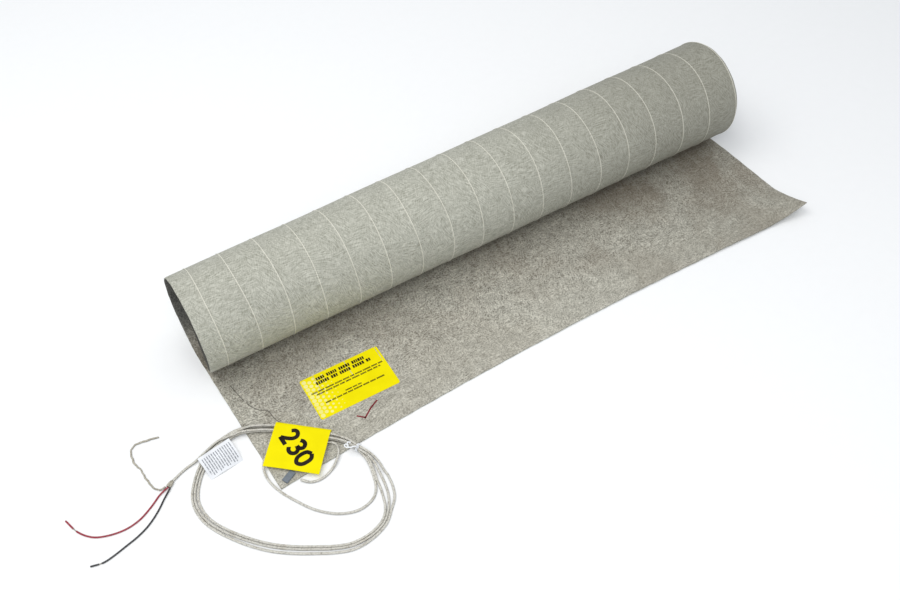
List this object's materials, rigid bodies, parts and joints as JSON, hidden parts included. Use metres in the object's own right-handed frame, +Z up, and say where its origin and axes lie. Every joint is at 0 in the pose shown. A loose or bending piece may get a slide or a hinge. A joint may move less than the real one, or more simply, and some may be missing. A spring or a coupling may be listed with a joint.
{
  "type": "underfloor heating mat",
  "caption": "Thin fabric electric floor heating mat, loosely rolled with a flat free tail, its braided power lead coiled and tied beside the corner with tags and bare conductors.",
  "frame": {"origin": "on the floor, below the middle of the mat's box", "axes": "+X along the roll towards its wider end, +Y from the free tail towards the roll, +Z up"},
  "size_m": [1.162, 0.4554, 0.1604],
  "materials": {
    "mat_fabric": "matt non-woven laminate",
    "yellow_vinyl": "printed film",
    "white_vinyl": "printed film",
    "grey_sleeve": "shrunk sleeve",
    "tinned_braid": "tinned wire braid under a clear skin",
    "white_plastic": "gloss",
    "red_insulation": "gloss",
    "black_insulation": "gloss"
  },
  "bodies": {
    "root": {"heating_mat": "mat_fabric", "info_sticker": "yellow_vinyl", "lead_sleeve": "grey_sleeve", "lead_start": "tinned_braid", "lead_coil": "tinned_braid", "lead_end": "tinned_braid", "jacket_end": "tinned_braid", "twist_tie": "white_plastic", "voltage_tag": "yellow_vinyl", "rating_label": "white_vinyl", "red_wire": "red_insulation", "black_wire": "black_insulation", "ground_braid": "tinned_braid"}
  },
  "joints": []
}
